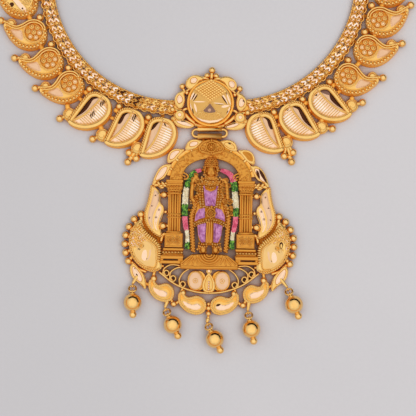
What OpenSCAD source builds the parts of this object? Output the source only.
// Gold temple necklace lying flat: woven band, fourteen mango links, crest, bail link,
// shrine pendant with a standing figure, and five ball drops. Face up is +Z, the pendant points to -Y.

/* [Woven band] */
// Width of the woven band
band_w = 4.3; // [3.6:0.1:4.6]
// Thickness of the woven band
band_t = 1.9; // [1.5:0.1:2.4]
// Half of the neck opening's width, from the middle to the band's inner edge
half_opening = 48.4; // [47:0.2:50]
// Inner radius of the band's front bend on each side
bend_r = 39.2; // [38.6:0.1:39.6]
// Length of the straight stretch on each side
side_len = 54.7; // [40:0.1:80]
// Length of the plain clasp at the back
clasp_len = 9; // [6:0.5:14]

/* [Mango links] */
// Height of a mango's rim above the surface it lies on
rim_h = 3.1; // [2.6:0.1:3.6]
// Height of the metal inside the rim
dish_h = 1.6; // [1.2:0.1:2]
// Width of the rim
rim_w = 0.9; // [0.6:0.05:1.1]
// Radius of the ball at each mango's tail
tail_ball_r = 1.2; // [1:0.05:1.4]

/* [Crest] */
// Radius of the round boss
boss_r = 7.5; // [7:0.1:7.8]
// Height of the boss
boss_h = 4.6; // [3.8:0.1:5.6]
// Turn of the crest on the band
crest_turn = -2.4; // [-3:0.1:0]

/* [Pendant] */
// Thickness of the flat openwork plate
plate_h = 1.1; // [0.8:0.1:1.4]
// Height of the leaves and feathers
leaf_h = 2.4; // [1.9:0.1:2.8]
// Height of the pillars
pillar_h = 3.2; // [2.8:0.1:3.8]
// Height of the pedestal under the figure's feet
pedestal_h = 3.6; // [3:0.1:4.2]
// Turn of the hanging pendant
pendant_turn = -1.1; // [-2:0.1:0]

/* [Figure] */
// Thickness of the figure's flat body
body_h = 2.4; // [2:0.1:2.8]
// Height of the enamel dress
robe_h = 4; // [3.4:0.1:4.4]
// Height of the enamel garlands
garland_h = 3.1; // [2.9:0.1:3.6]
// Radius of the head
head_r = 1.75; // [1.6:0.05:1.9]

/* [Drops] */
// Radius of a drop's large ball
ball_r = 2.9; // [2.6:0.05:3.1]
// Radius of a drop's small ball
small_ball_r = 1.2; // [1:0.05:1.4]
// Radius of a drop's ring, to the middle of its wire
ring_r = 1.15; // [1.1:0.01:1.2]
// Radius of the ring's wire
ring_wire = 0.28; // [0.24:0.01:0.3]

/* [Hidden] */
$fn = 48;

gap = 0.1;
bend_y = 6.5;
back_y = bend_y + side_len;
bend_x = half_opening - bend_r;
notch_w = 1.6;
notch_h = 0.6;
hook_h = 0.45;

// Places of the crest, the bail link and the pendant, in the necklace's own frame
crest_at = [1.95, -33.7];
link_at = [1.7, -43.3];
pendant_at = [1.9, -64.7];

link_wire = 0.42;
link_half = 4.35;
link_end_r = 1.18;
link_z = 1.3;
eye_r = 0.62;
eye_wire = 0.22;
link_eye_r = 0.95;
link_eye_play = 0.12;
link_eye_wire = 0.25;

// Mango columns: angle round the band's bend, distance of the head from the bend's centre, lean of the tail,
// style, lobe at the tail, balls past the lobe. Style 1 is a beaded comma, 2 a smooth drop form.
PLACE = 0;
REACH = 1;
LEAN = 2;
STYLE = 3;
LOBE = 4;
BALLS = 5;
left_mangoes = [
    [8.7, 48.9, 27, 1, [7.6, 1.7], [[11, 2.2]]],
    [20.9, 48.7, 29, 1, [7.6, 1.7], [[11, 2.2]]],
    [33.0, 48.3, 25, 1, [7.6, 1.7], [[11, 2.2]]],
    [44.9, 48.0, 26, 1, [7.6, 1.7], [[11, 2.2]]],
    [58.5, 49.2, 34, 2, [8.4, 1.8], [[11.8, 1.9]]],
    [72.3, 49.3, 36, 2, [8.9, 2.3], [[12.2, 3.1]]],
    [84.6, 50.1, 39, 2, [8.7, 2.0], [[11.6, 3.0], [11.3, 0.1], [14.0, 1.2]]]
];
right_mangoes = [
    [4.4, 49.1, 28, 1, [7.6, 1.7], [[11, 2.2]]],
    [15.9, 48.7, 29, 1, [7.7, 1.4], [[11, 2.2]]],
    [27.4, 48.6, 23, 1, [7.6, 1.7], [[11, 2.2]]],
    [40.4, 48.5, 26, 1, [7.6, 1.7], [[11, 2.2]]],
    [53.7, 49.2, 30, 2, [8.7, 2.4], [[11.5, 4.7]]],
    [66.4, 49.0, 35, 2, [9.1, 2.0], [[12.3, 3.4]]],
    [79.2, 49.2, 35, 2, [8.7, 2.3], [[11.3, -1.3], [12.5, 1.5], [14.3, -1.0]]]
];

// Drop columns: eye on the pendant, swing of the drop away from straight down
drops = [
    [[-24.4, -28.0], 1],
    [[-13.6, -35.4], 25],
    [[-0.1, -39.8], 26],
    [[12.8, -35.9], 11],
    [[25.4, -28.1], 21]
];
eye_z = 1.7;
drop_tilt = 4;
drop_eye_at = ball_r + 0.55;
drop_eye_z = ball_r + drop_eye_at * sin(drop_tilt);
ring_tilt = asin((drop_eye_z - eye_z) / (2 * ring_r));
ring_plan = ring_r * cos(ring_tilt);

// Smooth closed curve through a few points, and an open one that keeps its two ends
function between(a, b, c, d, t) =
    0.5 * (2 * b + (c - a) * t + (2 * a - 5 * b + 4 * c - d) * t * t + (3 * b - a - 3 * c + d) * t * t * t);
function smooth(points, steps = 3) = [
    for (i = [0:len(points) - 1], s = [0:steps - 1])
        let (n = len(points))
            between(points[(i + n - 1) % n], points[i], points[(i + 1) % n], points[(i + 2) % n], s / steps)
];
function flow(points, steps = 4) =
    let (n = len(points))
        [
            for (i = [0:n - 2], s = [0:steps - 1])
                between(
                    points[max(i - 1, 0)], points[i], points[i + 1], points[min(i + 2, n - 1)], s / steps
                ),
            points[n - 1]
        ];
function ellipse_arc(rx, ry, from, to, steps) =
    [for (i = [0:steps]) let (a = from + (to - from) * i / steps) [rx * cos(a), ry * sin(a)]];
function turned(p, a) = [p[0] * cos(a) - p[1] * sin(a), p[0] * sin(a) + p[1] * cos(a)];
function on_pendant(p) = pendant_at + turned(p, pendant_turn);

// A wire or strip along a smooth line, with round ends; a third number at each point is its own width
function ribbon(line, width) =
    let (
        n = len(line),
        runs = [for (i = [0:n - 1]) line[min(i + 1, n - 1)] - line[max(i - 1, 0)]],
        sides = [for (i = [0:n - 1]) across(runs[i]) * wide(line[i], width) / 2]
    )
        concat(
            [for (i = [0:n - 1]) flat(line[i]) + sides[i]],
            [for (i = [n - 1:-1:0]) flat(line[i]) - sides[i]]
        );
function across(run) = [-run[1], run[0]] / norm(flat(run));
function wide(p, width) = len(p) > 2 ? p[2] + width : width;
function flat(p) = [p[0], p[1]];

module strip(points, width) {
    line = flow(points);
    polygon(ribbon(line, width));
    for (tip = [line[0], line[len(line) - 1]]) {
        translate(flat(tip)) circle(d = wide(tip, width), $fn = 16);
    }
}

// One clean outline from many overlapping ones
module joined() {
    offset(delta = 0.01) children();
}

module both_sides() {
    children();
    mirror([1, 0, 0]) children();
}

module ball(at, r) {
    translate(at) sphere(r = r);
}

module rod(from, to, r) {
    run = to - from;
    translate(from) rotate([0, atan2(norm(flat(run)), run[2]), atan2(run[1], run[0])])
        cylinder(h = norm(run), r = r);
}

// Wire ring standing upright, seen edge-on from above
module eye(r, wire) {
    rotate([0, 90, 0]) rotate_extrude() translate([r, 0]) circle(r = wire);
}

// Arm or crown: a straight cone between two balls that are a little fuller
module limb(from, to, r_from, r_to) {
    run = to - from;
    translate(from) rotate([0, atan2(norm(flat(run)), run[2]), atan2(run[1], run[0])])
        cylinder(h = norm(run), r1 = r_from, r2 = r_to);
    ball(from, r_from * 1.04);
    ball(to, r_to * 1.04);
}

// Button with a rounded top, standing on the surface
module button(at, r, height, top = 0) {
    rise = r * 0.5;
    base = height - rise;
    translate([at[0], at[1], 0])
        rotate_extrude()
            polygon(concat([[0, top], [r, top]], [for (a = [0:18:90]) [r * cos(a), base + rise * sin(a)]]));
}

// Woven band
module band_profile() {
    edge = 0.3;
    polygon([
        [0, edge], [edge, 0], [band_w - notch_w, 0], [band_w - notch_w, notch_h], [band_w, notch_h],
        [band_w, band_t - edge], [band_w - edge, band_t], [edge, band_t], [0, band_t - edge]
    ]);
}

module bend(inner, sweep) {
    rotate_extrude(angle = sweep) translate([inner, 0]) band_profile();
}

module band_half(side, front_end) {
    clasp_half = asin((clasp_len / 2 + gap) / half_opening);
    color("goldenrod") {
        mirror([side < 0 ? 1 : 0, 0, 0]) {
            translate([bend_x, bend_y, 0]) mirror([0, 1, 0]) bend(bend_r, 90 - front_end);
            translate([half_opening, back_y, 0]) rotate([90, 0, 0]) linear_extrude(side_len) band_profile();
            translate([0, back_y, 0]) bend(half_opening, 90 - clasp_half);
        }
    }
}

module band_left() {
    band_half(-1, 0.8);
}

module band_right() {
    band_half(1, 6.8);
}

module clasp() {
    lip = 1.1;
    color("gold") translate([0, back_y + half_opening + band_w / 2, 0]) {
        linear_extrude(band_t + 0.7) square([clasp_len, band_w], center = true);
        translate([0, -0.25, band_t + gap])
            linear_extrude(0.6) square([clasp_len + 2 * lip, band_w - 0.6], center = true);
    }
}

// Mango outlines, head at the middle, tail to +X, hollow side to +Y
comma = [
    [-0.5, 4.1], [-3.1, 2.9], [-4.4, -0.3], [-3.8, -2.9], [-1.8, -4.8], [1.2, -5.6], [4.3, -5.0],
    [7.0, -3.2], [9.0, -0.9], [9.9, 0.8], [9.0, 2.0], [7.2, 1.5], [5.6, 1.3], [3.9, 2.2], [2.0, 3.6]
];
drop_form = [
    [-0.7, 5.5], [-3.1, 4.5], [-5.0, 1.5], [-4.9, -1.3], [-3.0, -3.9], [0.7, -5.3], [4.5, -4.9],
    [7.7, -3.2], [9.6, -0.9], [9.6, 0.6], [8.2, 1.4], [5.4, 2.9], [1.4, 5.0]
];
hatched_side = [
    [-3.9, 1.0], [-3.6, -1.8], [-1.6, -3.5], [1.2, -4.2], [4.4, -3.8], [7.2, -2.2], [2.2, -0.6], [-2.6, 1.7]
];
ridge = [[-2.9, 2.5], [-0.4, 1.2], [2.2, 0], [5, -0.7], [7.4, -1.2]];
stippled_side = [[3.6, -0.4], [5.8, 0.4], [7.9, 0.6], [6.4, -1.6], [3.4, -3.2]];

module rim(outline) {
    translate([0, 0, dish_h - 0.2]) linear_extrude(rim_h - dish_h) joined() difference() {
        offset(delta = -0.12) polygon(outline);
        offset(delta = -0.12 - rim_w) polygon(outline);
    }
}

// Body of a link, wider at the surface on its belly side
module body(outline, height) {
    linear_extrude(0.9) joined() belly_shift(outline, 0.6);
    translate([0, 0, 0.5]) linear_extrude(1) joined() belly_shift(outline, 0.35);
    translate([0, 0, 0.5]) linear_extrude(height - 0.5) polygon(outline);
}

module belly_shift(outline, shift) {
    polygon(outline);
    translate([shift * 0.3, -shift]) polygon(outline);
}

module beaded_mango() {
    outline = smooth(comma);
    body(outline, dish_h + 0.3);
    rim(outline);
    difference() {
        translate([0, 0, 0.5]) cylinder(h = 2.1, r = 3.3);
        translate([0, 0, dish_h + 0.4]) cylinder(h = 2, r = 2.9);
    }
    for (a = [0:60:300]) {
        ball([1.95 * cos(a), 1.95 * sin(a), dish_h + 0.3], 0.72);
    }
    ball([0, 0, dish_h + 0.3], 0.72);
    linear_extrude(dish_h + 0.7) polygon(smooth(stippled_side));
    top_ball([-1.3, 4.9], 1.1);
}

module smooth_mango() {
    outline = smooth(drop_form);
    body(outline, dish_h);
    rim(outline);
    linear_extrude(dish_h + 0.5) polygon(smooth(hatched_side));
    linear_extrude(rim_h - 0.4) joined() strip(ridge, 0.5);
    top_ball([-0.9, 6.5], 1.05);
}

module top_ball(at, r) {
    ball([at[0], at[1], 1.7], r);
    rod([at[0] * 0.9, at[1] - 1.8, 1.4], [at[0], at[1], 1.5], 0.5);
}

// Round lobe at the tail and the balls soldered to it
module tail(row) {
    lobe = row[LOBE];
    button(lobe, row[STYLE] == 1 ? 1.6 : 1.8, 2.5);
    for (at = row[BALLS]) {
        rod([lobe[0], lobe[1], 1.3], [at[0], at[1], 1.3], 0.5);
        ball([at[0], at[1], tail_ball_r + 0.05], tail_ball_r);
    }
}

// Flat hook in the notch under the band's outer edge, which holds the link on the band
module hook(row) {
    reach = row[REACH] - bend_r - band_w + notch_w - 0.3;
    rotate([0, 0, 180 - row[LEAN]]) translate([2, -0.9, 0]) cube([reach - 2, 1.8, hook_h]);
}

module mango(side, row) {
    color("gold")
        mirror([side < 0 ? 1 : 0, 0, 0])
            translate([bend_x, bend_y, 0])
                rotate([0, 0, -row[PLACE]]) translate([row[REACH], 0, 0]) rotate([0, 0, row[LEAN]]) {
                    hook(row);
                    tail(row);
                    if (row[STYLE] == 1) {
                        beaded_mango();
                    } else {
                        smooth_mango();
                    }
                }
}

// Crest outlines, right half
upper_leaf = [
    [2.5, 8.0], [4.2, 8.7], [6.2, 8.5], [7.8, 7.2], [8.2, 5.2],
    [6.6, 4.0], [5.0, 4.8], [4.0, 6.5], [2.7, 7.1]
];
side_leaf = [
    [8.2, 3.5], [9.9, 3.3], [11.4, 1.6], [11.4, -0.6], [10.2, -2.1], [8.8, -1.7], [8.2, 0.5], [8.5, 2.5]
];
lower_petal = [
    [11.6, -6.1], [8.8, -5.7], [6.2, -6.4], [4.9, -7.4], [6.1, -8.2], [8.6, -8.3], [10.6, -7.7]
];

module crest_outline() {
    circle(r = boss_r);
    square_from([-5, -7.6], [5, -6]);
    both_sides() {
        polygon(smooth(upper_leaf));
        polygon(smooth(side_leaf));
        polygon(smooth(lower_petal));
        translate([9.6, -4.2]) circle(r = 1.9);
        strip([[7.6, 2.9], [8.6, 3.4], [9.3, 4.8]], 0.7);
        strip([[6.9, -2], [8.8, -2.6]], 0.8);
        strip([[8.6, -1.5], [9.4, -3]], 0.9);
        strip([[1.2, 7.2], [3.4, 7.0]], 1.6);
    }
}

module square_from(low, high) {
    translate(low) square(high - low);
}

module boss() {
    face_r = boss_r - 0.8;
    rotate_extrude()
        polygon([
            [0, 0], [boss_r, 0], [boss_r, boss_h - 1.8], [face_r, boss_h - 0.5],
            [face_r - 0.5, boss_h - 0.3], [0, boss_h - 0.1]
        ]);
    translate([0, 0, 1])
        linear_extrude(boss_h - 0.8) polygon([[0, 6.5], [-4.8, 4.2], [0, 0.8], [4.8, 4.2]]);
    for (a = [-42, -14, 14, 42]) {
        translate([4.3 * sin(a), -4.3 * cos(a), 1]) cylinder(h = boss_h - 0.9, r = 0.6);
    }
    for (a = [-90, 90]) {
        rotate([0, 0, a]) translate([-0.3, 1, 1]) cube([0.6, 3.6, boss_h - 0.95]);
    }
    translate([0, -2.2, 1]) cylinder(h = boss_h - 0.8, r = 0.5);
}

module crest() {
    color("gold") {
        translate([crest_at[0], crest_at[1], 0]) rotate([0, 0, crest_turn]) {
            linear_extrude(plate_h) joined() crest_outline();
            boss();
            both_sides() {
                for (leaf = [upper_leaf, side_leaf, lower_petal]) {
                    linear_extrude(leaf_h) offset(delta = -0.15) polygon(smooth(leaf));
                    linear_extrude(leaf_h + 0.4) offset(delta = -0.8) polygon(smooth(leaf));
                }
                button([9.6, -4.2], 1.7, 3);
                ball([9.3, 4.9, 1.6], 0.9);
                ball([7.6, 2.9, 1.5], 0.7);
                ball([1.3, 8.7, 1.6], 0.9);
                ball([11.7, -2.7, 2.9], 0.85);
                rod([10.4, -2.9, 2], [11.7, -2.7, 2.8], 0.4);
            }
            ball([0, 10.5, 1.6], 1);
            rod([0, 7, 1.4], [0, 10.4, 1.5], 0.6);
        }
        translate([link_at[0], link_at[1], link_z]) for (x = [-3.4, 3.4]) {
            link_eye([x, link_end_r + link_eye_play]);
        }
        crest_hook(-bend_x, 270.4);
        crest_hook(bend_x, -84.4);
    }
}

// Flat hook from the crest under one end of the band
module crest_hook(x, along) {
    translate([x, bend_y, 0]) rotate([0, 0, along])
        translate([bend_r + band_w - notch_w + 0.3, -1.2, 0]) cube([2, 2.4, hook_h]);
}

module link_eye(at) {
    translate([at[0], at[1], 0]) eye(link_eye_r, link_eye_wire);
}

module bail_link() {
    color("gold") translate([link_at[0], link_at[1], link_z]) {
        for (end = [-1, 1]) {
            translate([end * link_half, 0, 0]) rotate([0, 0, end * 90 + 180])
                rotate_extrude(angle = 180) translate([link_end_r, 0]) circle(r = link_wire);
            translate([-link_half, end * link_end_r, 0])
                rotate([0, 90, 0]) cylinder(h = 2 * link_half, r = link_wire);
        }
    }
}

// Pendant outlines, right half
leaf_top = [
    [8.3, 16.9], [7.3, 18.7], [5.6, 19.3], [3.0, 18.9], [2.7, 18.2], [4.2, 17.0], [6.0, 16.0], [8.1, 15.8]
];
leaf_middle = [
    [14.1, 12.2], [13.6, 14.7], [11.8, 16.1], [9.0, 16.1],
    [8.7, 15.6], [9.9, 14.4], [11.2, 12.9], [13.2, 11.5]
];
leaf_low = [
    [18.7, 4.9], [17.8, 7.6], [16.4, 10.0], [14.6, 11.1], [12.5, 11.0],
    [13.6, 9.0], [14.8, 6.8], [16.8, 5.7], [18.2, 4.3]
];
feathers = [
    [19.1, 4.4], [17.1, 3.2], [16.0, 1.3], [16.0, -1.0], [14.9, -2.5], [14.9, -4.6],
    [15.9, -7.8], [15.5, -10.5], [15.2, -12.1], [16.9, -12.0], [19.3, -10.0],
    [20.9, -7.3], [21.1, -4.3], [20.2, -1.2], [19.5, 2.0]
];
peacock = [
    [22.3, -6.7], [21.3, -8.3], [20.0, -10.7], [17.8, -12.7], [15.8, -14.4], [15.7, -17.0], [15.7, -19.1],
    [15.1, -21.2], [15.6, -22.6], [17.9, -23.5], [20.6, -22.7], [23.2, -20.8], [25.0, -18.3], [25.8, -15.0],
    [25.7, -11.5], [24.5, -8.8]
];
swell = [
    [22.5, -9.5], [20.9, -11.5], [18.8, -13.6], [17.3, -15.2], [17.2, -17.5], [17.2, -19.8], [17.3, -21.6],
    [19.9, -21.3], [22.1, -19.7], [23.7, -17.5], [24.3, -14.8], [24.2, -12.0]
];
leaf_outer = [
    [24.8, -21.0], [25.4, -22.6], [24.6, -25.2], [22.0, -27.4], [20.4, -29.0], [20.0, -27.2], [20.8, -24.5],
    [22.6, -22.2], [24.0, -20.6]
];
fringe_outer = [
    [11.0, -30.3], [11.5, -28.4], [13.5, -27.0], [16.4, -27.5], [17.7, -25.6], [19.1, -26.2], [19.3, -28.3],
    [18.6, -30.3], [16.7, -32.2], [14.0, -33.0], [11.8, -32.3]
];
fringe_inner = [
    [0.6, -33.9], [1.3, -31.9], [3.7, -30.8], [6.6, -31.3], [8.3, -29.7], [9.5, -30.0], [9.8, -31.8],
    [9.1, -34.0], [6.8, -36.1], [3.6, -36.9], [1.4, -36.0]
];
finial = [
    [0, 19.3], [2.4, 18.9], [4.3, 17.2], [3.6, 15.6], [2.0, 14.6], [0, 14.1], [-2.0, 14.6], [-3.6, 15.6],
    [-4.3, 17.2], [-2.4, 18.9]
];
lotus_heart = [
    [0, -23.4], [1.2, -24.8], [2.2, -26.7], [2.2, -28.4], [1.1, -29.6],
    [-1.1, -29.6], [-2.2, -28.4], [-2.2, -26.7], [-1.2, -24.8]
];
outer_balls = [
    [22.3, -4.8], [24.3, -6.3], [26.0, -8.8], [27.0, -11.4], [27.1, -14.3], [27.0, -17.2], [26.0, -19.9]
];
peacock_middle = [21, -14.5];
scrolls = [
    [[9.3, -21.2], [12.2, -21.0], [14.3, -22.2], [14.5, -23.4]],
    [[6.6, -21.7], [10.0, -21.9], [12.2, -23.3], [12.3, -24.9]],
    [[5.7, -21.7], [8.1, -23.4], [9.4, -25.4], [9.3, -26.7]]
];
scroll_eyes = [[13.6, -23.6], [11.4, -25.4], [8.3, -27.1]];
pillar_x = [9.6, 13.4];
pedestal = [
    [-5.6, -17.5], [5.6, -17.5], [7.2, -18.8], [9.2, -20.6],
    [9.2, -21.9], [-9.2, -21.9], [-9.2, -20.6], [-7.2, -18.8]
];
leaves = [leaf_top, leaf_middle, leaf_low, leaf_outer, fringe_outer, fringe_inner];

module arch_outline() {
    outer = [for (p = ellipse_arc(13.2, 11.3, 0, 180, 24)) [p[0], p[1] + 5.6]];
    inner = [for (p = ellipse_arc(8.9, 5.8, 0, 180, 20)) [p[0], p[1] + 7.4]];
    difference() {
        polygon(concat(outer, [[-13.2, 3.2], [13.2, 3.2]]));
        polygon(concat(inner, [[-8.9, 3], [8.9, 3]]));
    }
}

module petal_outline() {
    translate([4.3, -25.8]) scale([1, 1.2]) circle(r = 2.6);
}

module fan_outline() {
    both_sides() {
        strip([[0, -29.9], [3.5, -29.6], [6.5, -28.9], [9.9, -27.6], [12.6, -26.0], [15.8, -23.6]], 0.9);
        for (line = scrolls) {
            strip(line, 0.6);
        }
        for (eye = scroll_eyes) {
            translate(eye) difference() {
                circle(r = 1.15);
                circle(r = 0.5);
            }
        }
        petal_outline();
        strip([[14.8, -21.5], [16.4, -21.4]], 1);
    }
    polygon(smooth(lotus_heart));
}

module shrine_outline() {
    arch_outline();
    polygon(pedestal);
    both_sides() {
        square_from([8.9, 2.6], [13.7, 6.5]);
        square_from([pillar_x[0], -11], [pillar_x[1], 3]);
        square_from([8.6, -16.6], [14.4, -10.6]);
        square_from([8.3, -21.9], [15.9, -16]);
    }
}

module frame_outline() {
    shrine_outline();
    fan_outline();
    polygon(smooth(finial));
    both_sides() {
        for (leaf = concat(leaves, [feathers, peacock])) {
            polygon(smooth(leaf));
        }
        strip([[13, 5.4], [15.6, 4.6], [18, 4.2]], 1.4);
        strip([[10.4, 12.4], [12.2, 13.6]], 1.4);
        strip([[13, 0.8], [16.6, 1.4]], 0.9);
        strip([[13, -8.6], [16.4, -8.4]], 1.3);
        strip([[17.8, -25.6], [17.2, -23.2]], 1.1);
        strip([[8.9, -30.2], [8.3, -28.2]], 1.2);
        strip([[9.6, -32.6], [11.6, -32]], 1.4);
        strip([[19.2, -27.6], [20.8, -27]], 1);
    }
    strip([[-1, -34.6], [1, -34.6]], 1.4);
}

module pillar() {
    width = pillar_x[1] - pillar_x[0];
    middle = (pillar_x[0] + pillar_x[1]) / 2;
    for (flute = [-1, 0, 1]) {
        translate([middle + flute * width / 3.1, 2.6, pillar_h - 1])
            rotate([90, 0, 0]) cylinder(h = 13.4, r = 0.72);
    }
    slab_box([pillar_x[0], -11, 0.5], [pillar_x[1], 3, pillar_h - 0.9]);
    for (y = [-4.7, -5.7, 1.7]) {
        slab_box([pillar_x[0] - 0.15, y, 0.5], [pillar_x[1] + 0.3, y + 0.55, pillar_h + 0.1]);
    }
    slab_box([9.2, 2.7, 0.5], [13.8, 4.2, pillar_h - 0.3]);
    slab_box([8.9, 4.5, 0.5], [14.1, 6.2, pillar_h]);
    slab_box([8.6, -15.2, 0.5], [14.4, -10.7, pillar_h + 0.1]);
    slab_box([8.3, -16.3, 0.5], [14.7, -15.5, pillar_h + 0.4]);
    slab_box([8.4, -17.9, 0.5], [15.2, -16.2, pillar_h - 1.4]);
    slab_box([8.3, -18.9, 0.5], [15.8, -17.8, pillar_h - 0.2]);
    slab_box([8.3, -20.6, 0.5], [15.8, -19.5, pillar_h - 0.6]);
    for (x = [9.9, 12.9]) {
        translate([x, -13, 1]) cylinder(h = pillar_h - 0.5, r = 1);
    }
    for (x = [9.2:1.4:14.8]) {
        ball([x, -17.05, pillar_h - 1.2], 0.75);
    }
}

module slab_box(low, high) {
    translate(low) cube(high - low);
}

module pedestal_block() {
    translate([0, 0, 0.5]) linear_extrude(pedestal_h - 1.3) offset(delta = -0.25) polygon(pedestal);
    slab_box([-9, -21.8, 0.5], [9, -20.9, pedestal_h]);
    intersection() {
        translate([0, -17.3, 0.6]) union() {
            cylinder(h = pedestal_h - 0.9, r = 3.9);
            cylinder(h = pedestal_h - 0.6, r = 2.8);
            cylinder(h = pedestal_h - 0.3, r = 1.6);
        }
        slab_box([-6, -21, 0], [6, -17.5, 6]);
    }
}

module peacock_relief() {
    translate([0, 0, 0.6]) linear_extrude(leaf_h) offset(delta = -0.3) polygon(smooth(peacock));
    translate([0, 0, 0.6]) linear_extrude(leaf_h + 0.6) offset(delta = -0.3) polygon(smooth(swell));
    intersection() {
        ball([19.9, -17.2, 0.2], 4.4);
        translate([0, 0, 1]) linear_extrude(5) offset(delta = -0.5) polygon(smooth(swell));
    }
    translate([0, 0, 0.6]) linear_extrude(leaf_h - 0.4) joined() difference() {
        offset(delta = -0.2) polygon(smooth(feathers));
        offset(delta = -0.9) polygon(smooth(feathers));
    }
    translate([0, 0, 0.6]) linear_extrude(leaf_h - 0.8) offset(delta = -0.4) polygon(smooth(feathers));
    for (at = outer_balls) {
        ball([at[0], at[1], 1.5], 1.15);
    }
    for (at = outer_balls) {
        inward = peacock_middle - at;
        root = at + inward * 2.2 / norm(inward);
        rod([root[0], root[1], 1.3], [at[0], at[1], 1.4], 0.5);
    }
}

module relief(leaf) {
    translate([0, 0, 0.6]) linear_extrude(leaf_h - 0.6) offset(delta = -0.2) polygon(smooth(leaf));
    translate([0, 0, 0.6]) linear_extrude(leaf_h - 0.1) offset(delta = -0.8) polygon(smooth(leaf));
}

// Eye that a drop's ring passes through, on an arm from the pendant
module drop_eye(row, root) {
    at = row[0];
    translate([at[0], at[1], eye_z]) rotate([0, 0, row[1] - pendant_turn]) eye(eye_r, eye_wire);
    reach = turned([0, eye_r], row[1] - pendant_turn);
    rod([root[0], root[1], 1.5], [at[0] + reach[0], at[1] + reach[1], eye_z], 0.3);
}

module pendant_frame() {
    color("goldenrod") {
        translate([pendant_at[0], pendant_at[1], 0]) rotate([0, 0, pendant_turn]) {
            linear_extrude(plate_h) joined() frame_outline();
            translate([0, 0, 0.6]) linear_extrude(1.6) joined() arch_outline();
            pedestal_block();
            relief(finial);
            button([0, 17.2], 1.7, 3.4, 0.6);
            button([4.3, -25.8], 2, 2.2, 0.6);
            button([-4.3, -25.8], 2, 2.2, 0.6);
            translate([0, 0, 0.6]) linear_extrude(1.6) offset(delta = -0.4) polygon(smooth(lotus_heart));
            button([0, -22.7], 0.9, 2.2, 0.6);
            both_sides() {
                pillar();
                peacock_relief();
                for (leaf = leaves) {
                    relief(leaf);
                }
                ball([15.5, 4.5, 2.2], 1.5);
                ball([15.0, -8.5, 1.8], 1);
                ball([14.8, 1.1, 1.6], 0.8);
                ball([11.1, -33.6, 1.4], 1);
            }
            ball([0.1, -34.7, 1.5], 0.85);
            ball([0.1, -36.4, 1.5], 0.85);
            rod([0.1, -34.7, 1.5], [0, -38.4, 1.6], 0.35);
            drop_eye(drops[0], [-22.9, -24.8]);
            drop_eye(drops[1], [-13.2, -32.8]);
            drop_eye(drops[2], [0, -38.2]);
            drop_eye(drops[3], [13.0, -32.6]);
            drop_eye(drops[4], [22.9, -24.8]);
        }
        translate([link_at[0], link_at[1], link_z]) for (x = [-2, 2]) {
            link_eye([x, -link_end_r - link_eye_play]);
            rod([x, -link_end_r - 1, 0], [x, -link_end_r - 2.6, -0.3], 0.45);
        }
    }
}

// Figure, standing between the pillars
torso_half = [
    [2.9, 6.6], [4.6, 5.4], [4.4, 0], [5.2, -4.6], [5.4, -7.6], [4.2, -8.6], [3.6, -12.6],
    [2.9, -14.2], [3.4, -16.6], [2.8, -17.3], [0.9, -17.3], [0.8, -14.6]
];
torso = concat(torso_half, [for (i = [len(torso_half) - 1:-1:0]) [-torso_half[i][0], torso_half[i][1]]]);
arm = [[4, 5.2], [5.5, 4.4], [5.4, 0.6], [4.6, -2]];
rope = [[4.4, 1.5], [5.0, -2.4], [6.1, -5.2], [5.8, -10.2], [5.2, -16.6]];
// Garland columns: across, up, width
garland_line_left = [
    [-3.3, 9.5, 1.3], [-4.8, 8.9, 1.7], [-6.7, 7.0, 1.9], [-7.7, 3.4, 2], [-8.0, 0.6, 2.2],
    [-8.1, -3.4, 2.1], [-7.9, -7.6, 1.8], [-7.15, -11.6, 1.4], [-7.2, -15.6, 1.7]
];
garland_line_right = [
    [3.3, 9.5, 1.3], [4.8, 9.1, 1.7], [6.6, 7.7, 2], [7.5, 5.2, 2.2], [7.8, 2.6, 2], [8.0, 0, 2.3],
    [8.2, -2.2, 2.1], [8.2, -6.0, 1.8], [7.9, -8.6, 1.7], [7.3, -11.4, 1.5], [7.2, -15.4, 1.7]
];
chest_patch = [[-2.3, 4.6], [0, 3.0], [2.3, 4.6], [1.9, 1], [1.6, -2.0], [-1.6, -2.0], [-1.9, 1]];
hip_patch = [[1.7, -2.6], [3.6, -3.0], [4.6, -4.8], [4.9, -7.0], [3.4, -6.2], [1.6, -5.7]];
leg_patch = [[1.2, -7.3], [4.0, -8.2], [3.7, -11.3], [3.2, -12.6], [2.6, -13.7], [1.2, -13.5]];

module figure_outline() {
    polygon(torso);
    circle_at([0, 9], 2.3);
    square_from([-1.5, 9], [1.5, 13]);
    square_from([-1.6, 6], [1.6, 8]);
    both_sides() {
        strip(rope, 1.2);
        strip(arm, 1.5);
        strip([[4.5, 5.6], [5.3, 7.2]], 1.4);
    }
    strip(garland_line_left, -0.3);
    strip(garland_line_right, -0.3);
    strip([[-8.2, -3], [-5.6, -3.6]], 1.2);
    strip([[8.2, -3], [5.6, -3.6]], 1.2);
    strip([[-7.2, -15.4], [-5.2, -15.6]], 1.2);
    strip([[7.4, -14.8], [5.2, -15.4]], 1.2);
}

module circle_at(at, r) {
    translate(at) circle(r = r);
}

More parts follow.
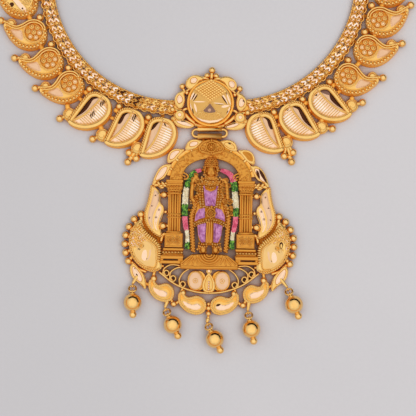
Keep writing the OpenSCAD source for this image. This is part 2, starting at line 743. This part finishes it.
module figure() {
    dress_top = robe_h - 0.1;
    color("darkgoldenrod") translate([pendant_at[0], pendant_at[1], 0]) rotate([0, 0, pendant_turn]) {
        linear_extrude(plate_h) joined() figure_outline();
        linear_extrude(body_h) offset(delta = -0.1) polygon(torso);
        linear_extrude(body_h) joined() both_sides() strip(arm, 1.3);
        ball([0, 9, 3.1], head_r);
        translate([0, 0, 0.6]) linear_extrude(2) circle_at([0, 9.6], 2.3);
        limb([0, 10.4, 2.5], [0, 12, 2], 1.5, 0.9);
        slab_box([-1.6, 6, 0.6], [1.6, 8, 3.2]);
        both_sides() {
            limb([4.6, 5, 2.4], [5.6, 1.6, 2.4], 1.2, 0.95);
            limb([5.6, 1.6, 2.4], [3.4, -0.4, 2.8], 0.9, 0.7);
            translate([0, 0, 0.6]) linear_extrude(2.2) joined() strip(rope, 1);
            button([2, -15.8], 1, 3, 0.6);
        }
        translate([0, 0, body_h - 0.2]) linear_extrude(dress_top - body_h) joined() {
            strip([[-2.6, 5.5], [0, 4.4], [2.6, 5.5]], 1.3);
            strip([[-3.2, 4.8], [-2.8, 1], [-2.4, -1.6]], 0.9);
            strip([[3.2, 4.8], [2.8, 1], [2.4, -1.6]], 0.9);
            strip([[-4.9, -7.8], [-2.4, -6.9], [0, -6.4], [2.4, -6.9], [4.9, -7.8]], 0.8);
            square_from([-0.9, -13.9], [0.9, -6.4]);
            circle_at([0, -4], 1.35);
            square_from([-2.6, -2.5], [2.6, -2.1]);
        }
    }
}

module robe() {
    floor_z = body_h + gap;
    color("orchid") translate([pendant_at[0], pendant_at[1], floor_z]) rotate([0, 0, pendant_turn]) {
        patch(chest_patch);
        both_sides() {
            patch(hip_patch);
            patch(leg_patch);
        }
    }
}

module patch(points) {
    rise = robe_h - body_h - gap;
    linear_extrude(rise - 0.4) offset(delta = -0.1) polygon(points);
    translate([0, 0, rise - 0.6]) linear_extrude(0.6) offset(delta = -0.45) polygon(points);
}

module garland(line) {
    lift = plate_h + gap;
    color("hotpink") translate([pendant_at[0], pendant_at[1], lift]) rotate([0, 0, pendant_turn]) {
        linear_extrude(garland_h - lift - 0.4) joined() strip(line, 0);
        linear_extrude(garland_h - lift) joined() strip(line, -0.7);
    }
}

module garland_left() {
    garland(garland_line_left);
}

module garland_right() {
    garland(garland_line_right);
}

// Ring of a drop, from the pendant's eye to the drop's eye
module drop_ring(row) {
    at = on_pendant(row[0]);
    color("gold") translate([at[0], at[1], eye_z]) rotate([0, 0, row[1]])
        translate([0, -ring_plan, (drop_eye_z - eye_z) / 2]) rotate([-ring_tilt, 0, 0])
            rotate_extrude() translate([ring_r, 0]) circle(r = ring_wire);
}

// Drop: large and small ball with an eye on top, lying on the large ball
module drop(row) {
    at = on_pendant(row[0]);
    reach = 2 * ring_plan + drop_eye_at * cos(drop_tilt);
    color("gold") translate([at[0], at[1], 0]) rotate([0, 0, row[1]])
        translate([0, -reach, ball_r]) rotate([drop_tilt, 0, 0]) {
            sphere(r = ball_r);
            ball([0, -ball_r - small_ball_r + 0.15, 0], small_ball_r);
            rotate([90, 0, 0]) cylinder(h = ball_r + 0.5, r = 0.7);
            translate([0, drop_eye_at, 0]) eye(eye_r, eye_wire);
        }
}

band_left();
band_right();
clasp();
mango(-1, left_mangoes[0]);  // mango_l1
mango(-1, left_mangoes[1]);  // mango_l2
mango(-1, left_mangoes[2]);  // mango_l3
mango(-1, left_mangoes[3]);  // mango_l4
mango(-1, left_mangoes[4]);  // mango_l5
mango(-1, left_mangoes[5]);  // mango_l6
mango(-1, left_mangoes[6]);  // mango_l7
mango(1, right_mangoes[0]);  // mango_r1
mango(1, right_mangoes[1]);  // mango_r2
mango(1, right_mangoes[2]);  // mango_r3
mango(1, right_mangoes[3]);  // mango_r4
mango(1, right_mangoes[4]);  // mango_r5
mango(1, right_mangoes[5]);  // mango_r6
mango(1, right_mangoes[6]);  // mango_r7
crest();
bail_link();
pendant_frame();
figure();
robe();
garland_left();
garland_right();
drop_ring(drops[0]);  // drop_ring_1
drop_ring(drops[1]);  // drop_ring_2
drop_ring(drops[2]);  // drop_ring_3
drop_ring(drops[3]);  // drop_ring_4
drop_ring(drops[4]);  // drop_ring_5
drop(drops[0]);  // drop_1
drop(drops[1]);  // drop_2
drop(drops[2]);  // drop_3
drop(drops[3]);  // drop_4
drop(drops[4]);  // drop_5
